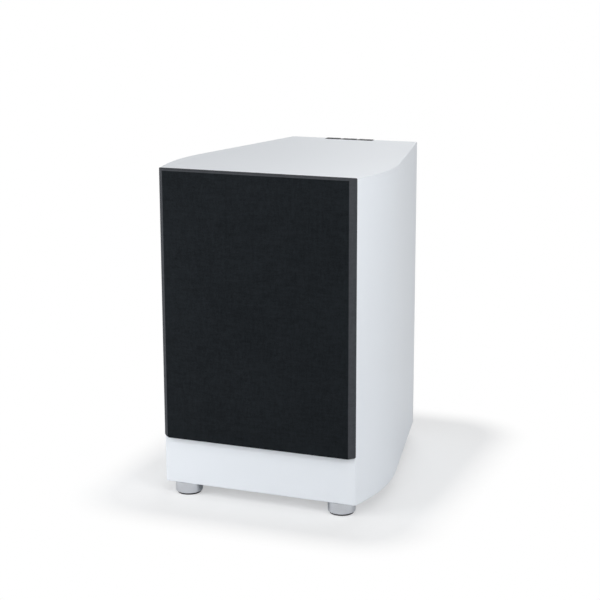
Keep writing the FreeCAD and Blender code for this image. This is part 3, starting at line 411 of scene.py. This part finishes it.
def piece(name, shell, body, finish, instead_of=(), sharp=35):
    """A new mesh object from (points, faces). It rides on a body, or on none."""
    points, faces = shell
    mesh = bpy.data.meshes.new(name)
    mesh.from_pydata(points, [], faces)
    mesh.polygons.foreach_set("use_smooth", [True] * len(mesh.polygons))
    mesh.set_sharp_from_angle(angle=math.radians(sharp))
    mesh.materials.append(finish.material)
    thing = bpy.data.objects.new(name, mesh)
    bpy.context.collection.objects.link(thing)
    if body:
        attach(thing, body)
    if instead_of:
        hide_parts(*instead_of)
    return thing


def joined(shells):
    """Several (points, faces) as one."""
    points, faces = [], []
    for more_points, more_faces in shells:
        start = len(points)
        points += more_points
        faces += [[start + i for i in face] for face in more_faces]
    return points, faces


def skinned(loops, close=False, cap_first=False, cap_last=False):
    """Quads between loops of equally many points; close joins the last loop to the first."""
    count = len(loops[0])
    points = [point for loop in loops for point in loop]
    pairs = list(zip(range(len(loops)), range(1, len(loops))))
    if close:
        pairs.append((len(loops) - 1, 0))
    faces = []
    for a, b in pairs:
        for i in range(count):
            j = (i + 1) % count
            faces.append([a * count + i, a * count + j, b * count + j, b * count + i])
    if cap_first:
        faces.append(list(range(count))[::-1])
    if cap_last:
        start = (len(loops) - 1) * count
        faces.append(list(range(start, start + count)))
    return points, faces


def turned(outline, x, z, steps=96):
    """A closed (radius, y) outline turned about a line along Y."""
    turns = [2 * math.pi * i / steps for i in range(steps)]
    return skinned([[(x + r * math.cos(a), y, z + r * math.sin(a)) for a in turns] for r, y in outline], close=True)


def moved(shell, matrix):
    points, faces = shell
    return [tuple(matrix @ Vector(point)) for point in points], faces


def screw(head_r, sink, shank_r, length):
    """A countersunk screw with a hexagon socket, pointing down from the origin."""
    turns = [2 * math.pi * i / 24 for i in range(24)]
    key_r, key_depth, edge = head_r * 0.5, sink * 0.7, head_r * 0.05

    def hexagon(a):
        return key_r * math.cos(math.pi / 6) / math.cos(a % (math.pi / 3) - math.pi / 6)

    levels = [(0.0, -key_depth * 1.15), (1.0, -key_depth), (1.0, 0.0)]
    loops = [[(k * hexagon(a) * math.cos(a), k * hexagon(a) * math.sin(a), z) for a in turns] for k, z in levels]
    for r, z in ((head_r - edge, 0.0), (head_r, -edge), (shank_r, -sink), (shank_r, shank_r - length),
                 (shank_r * 0.1, -length)):
        loops.append([(r * math.cos(a), r * math.sin(a), z) for a in turns])
    return skinned(loops, cap_last=True)


def rounded_rectangle(left, right, low, high, round_low, round_high, y, steps=6):
    """Points in the plane at y, with two corner radii below and two above."""
    corners = [(right - round_low, low + round_low, round_low, -90),
               (right - round_high, high - round_high, round_high, 0),
               (left + round_high, high - round_high, round_high, 90),
               (left + round_low, low + round_low, round_low, 180)]
    loop = []
    for x, z, r, start in corners:
        for i in range(steps + 1):
            a = math.radians(start + 90 * i / steps)
            loop.append((x + r * math.cos(a), y, z + r * math.sin(a)))
    return loop


def front_cloth(made):
    """The cloth over the grille's frame: flat front, slanted sides, folded over every edge and glued behind."""
    (left, front, low), (right, back, high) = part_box("grille_cloth")
    depth = back - front

    def fold(r, y):
        """How far an edge with a fold of radius r has drawn in at depth y behind the front."""
        return r - math.sqrt(r * r - (r - y) ** 2) if y < r else 0.0

    steps = [depth * (i / 12) ** 1.6 for i in range(13)]
    loops = []
    for y in steps:
        side = CHAMFER * (1 - y / depth) + 0.25 * MM * max(0.0, 1 - y / (0.5 * MM)) ** 2
        loops.append(rounded_rectangle(left + side, right - side, low + fold(FOLD_BOTTOM, y),
                                       high - fold(FOLD_TOP, y), FOLD_CORNER, 0.6 * MM, front + y))
    for inset, behind in ((0.12 * MM, 0.5 * WRAP_BEHIND), (0.5 * MM, WRAP_BEHIND), (WRAP, WRAP_BEHIND)):
        round_low = FOLD_CORNER if inset < FOLD_CORNER / 2 else 0.5 * MM
        loops.append(rounded_rectangle(left + inset, right - inset, low + inset, high - inset,
                                       round_low, 0.5 * MM, back + behind))
    cloth = piece("front_cloth", skinned(loops, cap_first=True), "grille", made["grille_cloth"],
                  ["grille_cloth"], sharp=60)
    solid = cloth.modifiers.new("thickness", "SOLIDIFY")
    solid.thickness = CLOTH_T
    solid.offset = -1.0


def half_roll(name, node, finish, radii, depths, skin):
    """A turned flexible roll in a driver, between a flat outer lip and a flat inner lip."""
    outer_r, roll_out, roll_in, inner_r = radii
    front, seat, inner_y = depths
    (_, _, low), (_, _, high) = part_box(node)
    z = (low + high) / 2
    middle, half = (roll_out + roll_in) / 2, (roll_out - roll_in) / 2
    rise = seat - skin - front

    def crest(r_half, height, base, start, end):
        angles = [math.radians(start + (end - start) * i / 14) for i in range(15)]
        return [(middle + r_half * math.cos(a), base - height * math.sin(a)) for a in angles]

    outline = [(outer_r, seat - skin), *crest(half, rise, seat - skin, 0, 180), (roll_in, inner_y - skin),
               (inner_r, inner_y - skin), (inner_r, inner_y), (roll_in + skin, inner_y),
               *crest(half - skin, rise - skin, seat - skin, 180, 0), (roll_out - skin, seat), (outer_r, seat)]
    roll = piece(name, turned(outline, 0, z), None, finish, [node])
    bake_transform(roll)


def driver_rolls(made):
    """The woofer's rubber roll and the small coated one round the tweeter's dome."""
    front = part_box("woofer_surround")[0][1]
    half_roll("woofer_roll", "woofer_surround", made["rubber"],
              ROLL_RADII, (front, front + ROLL_SEAT, front + ROLL_INNER), ROLL_SKIN)
    (_, front, _), (outer_r, back, _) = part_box("tweeter_roll")
    dome_r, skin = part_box("tweeter_dome")[1][0], 0.25 * MM
    half_roll("dome_roll", "tweeter_roll", made["silk"],
              (outer_r, outer_r - 0.8 * MM, dome_r + 0.6 * MM, dome_r), (front, back - 2 * skin, back), skin)


def woofer_spider(made):
    """The corrugated disc round the woofer's coil, in wedges, its rim in the basket and its middle on the coil's
    former."""
    (_, front, low), (rim_r, back, high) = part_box("woofer_spider")
    hub_r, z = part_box("woofer_coil_former")[1][0], (low + high) / 2
    free_r = hub_r + SPIDER_FLAT
    lift = (back - front - SPIDER_SKIN) / 2
    span = (rim_r - SPIDER_FLAT - free_r) / SPIDER_HALF_WAVES
    wave = [(hub_r, 0.0)]
    for i in range(SPIDER_HALF_WAVES):
        wave += [(free_r + (i + j / 6) * span, -lift * (-1) ** i * math.sin(math.pi * j / 6)) for j in range(6)]
    wave += [(rim_r - SPIDER_FLAT, 0.0), (rim_r, 0.0)]
    outline = [(r, front + lift + y) for r, y in wave]
    outline += [(r, front + lift + SPIDER_SKIN + y) for r, y in reversed(wave)]
    width = 2 * math.pi / SPIDER_WEDGES
    for i in range(SPIDER_WEDGES):
        turns = [width * (i + j / 8) for j in range(9)]
        shell = skinned([[(r * math.cos(a), y, z + r * math.sin(a)) for r, y in outline] for a in turns])
        wedge = piece(f"spider_{i + 1}", shell, None, made["spider_cloth"], ["woofer_spider"])
        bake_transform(wedge)


def driver_screws(made):
    """Socket screws round both drivers, at the places of their plain CAD screws."""
    upright = Matrix.Rotation(math.radians(90), 4, "X")
    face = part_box("front_baffle")[0][1]
    for name, driver, count, start in (("woofer_screws", "woofer_gasket", 6, 90),
                                       ("tweeter_screws", "tweeter_faceplate", 4, 45)):
        (left, _, low), (right, _, high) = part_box(driver)
        x, z = (left + right) / 2, (low + high) / 2
        (node_left, _, _), (node_right, _, _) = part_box(name)
        reach = (node_right - node_left) / 2 - DRIVER_SCREW[0]
        ring_r = reach / max(math.cos(math.radians(start + 360 * i / count)) for i in range(count))
        shells = []
        for i in range(count):
            a = math.radians(start + 360 * i / count)
            place = Matrix.Translation((x + ring_r * math.cos(a), face, z + ring_r * math.sin(a)))
            shells.append(moved(screw(*DRIVER_SCREW), place @ upright @ Matrix.Rotation(0.7 * i, 4, "Z")))
        piece(f"socket_{name}", joined(shells), "cabinet", made["black_screws"], [name], sharp=25)


def plate_screws(made):
    """Socket screws down both sides of the amplifier plate and in the middle of its two ends."""
    (left, _, low), (right, _, high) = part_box("amplifier_screws")
    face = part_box("back_panel")[1][1]
    head_r, shank_r = PLATE_SCREW[0], PLATE_SCREW[2]
    middle_x, middle_z = (left + right) / 2, (low + high) / 2
    heights = (low + head_r + shank_r, middle_z, high - head_r - shank_r)
    places = [(x, z) for x in (left + head_r, right - head_r) for z in heights]
    places += [(middle_x, low + head_r), (middle_x, high - head_r)]
    downward = Matrix.Rotation(math.radians(-90), 4, "X")
    shells = []
    for x, z in places:
        place = Matrix.Translation((x, face, z)) @ downward @ Matrix.Rotation(x + z, 4, "Z")
        shells.append(moved(screw(*PLATE_SCREW), place))
    piece("socket_amplifier_screws", joined(shells), "cabinet", made["black_screws"],
          ["amplifier_screws"], sharp=25)


def lining(made):
    """Fluffy wadding on the inside of both side panels: the CAD lining, shrunk a little and tufted."""
    source = frame["nodes"]["damping_wadding"]
    mesh = source.data.copy()
    thing = bpy.data.objects.new("side_wadding", mesh)
    bpy.context.collection.objects.link(thing)
    remesh = thing.modifiers.new("even", "REMESH")
    remesh.mode = "VOXEL"
    remesh.voxel_size = 3.5 * MM
    depsgraph = bpy.context.evaluated_depsgraph_get()
    even = bpy.data.meshes.new_from_object(thing.evaluated_get(depsgraph))
    thing.modifiers.clear()
    thing.data = even
    for vertex in even.vertices:
        tuft = noise.fractal(vertex.co * 70.0, 0.8, 2.0, 3)
        vertex.co -= vertex.normal * MM * (1.6 + 1.2 * max(-1.0, min(1.0, tuft)))
    even.polygons.foreach_set("use_smooth", [True] * len(even.polygons))
    even.materials.clear()
    even.materials.append(made["wadding"].material)
    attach(thing, "cabinet")
    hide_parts("damping_wadding")


def bar(width, height, thick):
    """A thin bar with a chamfered upper edge, centred on the origin and standing on z = 0."""
    edge = thick * 0.4
    loops = [[(sx * w / 2, sy * h / 2, z) for sx, sy in ((-1, -1), (1, -1), (1, 1), (-1, 1))]
             for w, h, z in ((width, height, 0), (width, height, thick - edge),
                             (width - edge, height - edge, thick))]
    return skinned(loops, cap_first=True, cap_last=True)


def hoop(r, width, thick, steps=32):
    """A thin flat ring, standing on z = 0."""
    section = [(r - width / 2, 0), (r + width / 2, 0), (r + width / 2, thick), (r - width / 2, thick)]
    turns = [math.radians(360.0 * i / steps) for i in range(steps)]
    return skinned([[(q * math.cos(a), q * math.sin(a), z) for q, z in section] for a in turns], close=True)


def rocker_marks(made):
    """A stroke and a ring on the two halves of the mains rocker's face."""
    mesh = frame["nodes"]["power_rocker"].data
    (_, _, low), (_, _, high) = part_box("power_rocker")
    middle = (low + high) / 2
    thick, size = 0.10 * MM, 3.4 * MM
    for name, shell, upper in (("on_mark", bar(0.7 * MM, size, thick), True),
                               ("off_mark", hoop(size / 2, 0.6 * MM, thick), False)):
        faces = [f for f in mesh.polygons
                 if f.area > (3 * MM) ** 2 and f.normal.y > 0.9 and (f.center.z > middle) == upper]
        area = sum(f.area for f in faces)
        centre = sum((f.center * f.area for f in faces), Vector()) / area
        normal = sum((f.normal * f.area for f in faces), Vector()).normalized()
        turn = normal.to_track_quat("Z", "Y").to_matrix().to_4x4()
        place = Matrix.Translation(centre - normal * 0.02 * MM) @ turn
        piece(f"rocker_{name}", moved(shell, place), "mains_switch", made["print"])


# ---------------------------------------------------------------- studio

def floor():
    """A pale floor that keeps the shadow near the speaker and runs out to plain white."""
    half = FLOOR_SIZE / 2
    mesh = bpy.data.meshes.new("floor")
    mesh.from_pydata([(-half, -half, 0), (half, -half, 0), (half, half, 0), (-half, half, 0)], [], [(0, 1, 2, 3)])
    thing = bpy.data.objects.new("floor", mesh)
    bpy.context.collection.objects.link(thing)
    f = Finish("floor", Base_Color=(0.88, 0.89, 0.90), Roughness=0.9, Specular_IOR_Level=0.1)
    path = f.node("ShaderNodeLightPath").socket.node
    camera_ray, glossy_ray, clear_ray = [Value(f, path.outputs[kind]) for kind in LOOKS]
    x, y, _ = f.axes()
    beyond_x, beyond_y = (x.size() - CAD_BOX[1][0]).at_least(0), (y.size() - CAD_BOX[1][1]).at_least(0)
    away = ((beyond_x * beyond_x + beyond_y * beyond_y) ** 0.5).between(0, FLOOR_FADE)
    plain = away * camera_ray.at_least(glossy_ray).at_least(clear_ray)
    white = f.node("ShaderNodeEmission", {}, {"Color": (1, 1, 1), "Strength": 1.0})
    blend = f.node("ShaderNodeMixShader", {}, {0: plain.at_least(camera_ray * SHADOW_LIFT),
                                               1: Value(f, f.shader.outputs[0]), 2: white})
    f.plug(f.tree.nodes["Material Output"].inputs["Surface"], blend)
    mesh.materials.append(f.material)


def world():
    """White where the camera, a reflection or glass looks at it, and AMBIENT as a light."""
    made = bpy.data.worlds.new("studio")
    bpy.context.scene.world = made
    made.use_nodes = True
    nodes, links = made.node_tree.nodes, made.node_tree.links
    back = nodes["Background"]
    back.inputs["Color"].default_value = (1, 1, 1, 1)
    path = nodes.new("ShaderNodeLightPath")
    seen = path.outputs[LOOKS[0]]
    for kind in LOOKS[1:]:
        either = nodes.new("ShaderNodeMath")
        either.operation = "MAXIMUM"
        links.new(seen, either.inputs[0])
        links.new(path.outputs[kind], either.inputs[1])
        seen = either.outputs[0]
    strength = nodes.new("ShaderNodeMapRange")
    strength.inputs["To Min"].default_value = AMBIENT
    strength.inputs["To Max"].default_value = 1.0
    links.new(seen, strength.inputs["Value"])
    links.new(strength.outputs[0], back.inputs["Strength"])


def softbox(name, bearing, height_angle, distance, watts):
    """A square lamp aimed at the speaker: bearing 0 is in front of it, 90 on its right."""
    a, e = math.radians(bearing), math.radians(height_angle)
    aim = Vector((0, 0, AIM_HEIGHT))
    place = aim + distance * Vector((math.sin(a) * math.cos(e), -math.cos(a) * math.cos(e), math.sin(e)))
    data = bpy.data.lights.new(name, "AREA")
    data.shape = "RECTANGLE"
    data.size = data.size_y = LAMP_SHARE * distance
    data.energy = watts
    thing = bpy.data.objects.new(name, data)
    bpy.context.collection.objects.link(thing)
    thing.location = place
    thing.rotation_euler = (aim - place).to_track_quat("-Z", "Y").to_euler()


def lamps():
    softbox("left", -40, 15, 0.75, 2.95)
    softbox("high_right", 40, 40, 0.75, 1.4)
    softbox("right", 60, 15, 1.2, 4.4)
    softbox("behind", 180, 40, 1.2, 4.4)
    softbox("behind_left", -150, 40, 1.2, 1.2)


def camera():
    data = bpy.data.cameras.new("camera")
    data.lens = CAMERA_LENS
    data.sensor_width = SENSOR
    thing = bpy.data.objects.new("camera", data)
    bpy.context.collection.objects.link(thing)
    thing.location = CAMERA_PLACE
    thing.rotation_euler = [math.radians(a) for a in (90 - CAMERA_PITCH, CAMERA_ROLL, CAMERA_YAW)]
    bpy.context.scene.camera = thing


made = finishes()
dress_nodes(made)
for build in (front_cloth, driver_rolls, woofer_spider, driver_screws, plate_screws, lining, rocker_marks):
    build(made)
floor()
world()
lamps()
camera()
bpy.context.scene.view_settings.view_transform = "Standard"
